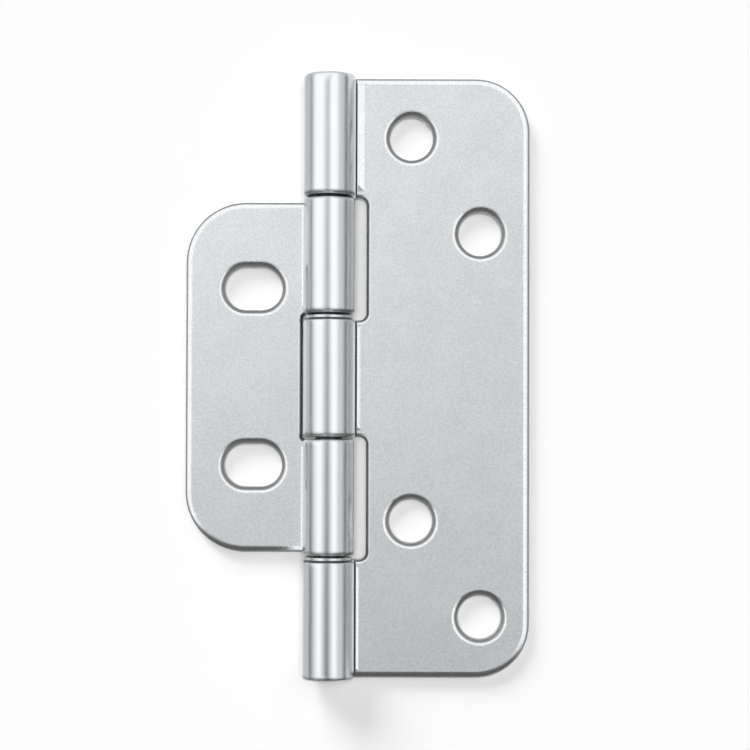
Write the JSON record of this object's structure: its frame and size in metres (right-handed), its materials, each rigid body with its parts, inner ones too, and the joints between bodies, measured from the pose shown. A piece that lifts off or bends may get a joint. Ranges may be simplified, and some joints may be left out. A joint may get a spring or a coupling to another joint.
{
  "type": "tee hinge",
  "caption": "Zinc-plated pressed steel hinge with a tall holed leaf, a short slotted leaf and a rolled five-knuckle barrel on a fixed pin.",
  "frame": {"origin": "on the plane of the leaf backs, straight under the pin axis, midway along the pin", "axes": "+X from the pin across the tall leaf, +Y along the pin, +Z out of the pressed face, to the side on which the barrel stands proud"},
  "size_m": [0.0573, 0.1, 0.0085],
  "materials": {
    "plated_sheet": "bright zinc plate, satin with a fine mottle",
    "pin_steel": "drawn steel, satin",
    "washer_steel": "bright zinc plate"
  },
  "bodies": {
    "tall_side": {"large_leaf": "plated_sheet", "hinge_pin": "pin_steel", "upper_washer": "washer_steel", "lower_washer": "washer_steel"},
    "short_side": {"small_leaf": "plated_sheet"}
  },
  "joints": [
    {"name": "leaf_swing", "type": "hinge", "parent": "tall_side", "child": "short_side", "pos_m": [0, 0, 0.00425], "axis": [0, 1, 0], "range_deg": [-90, 190]}
  ]
}
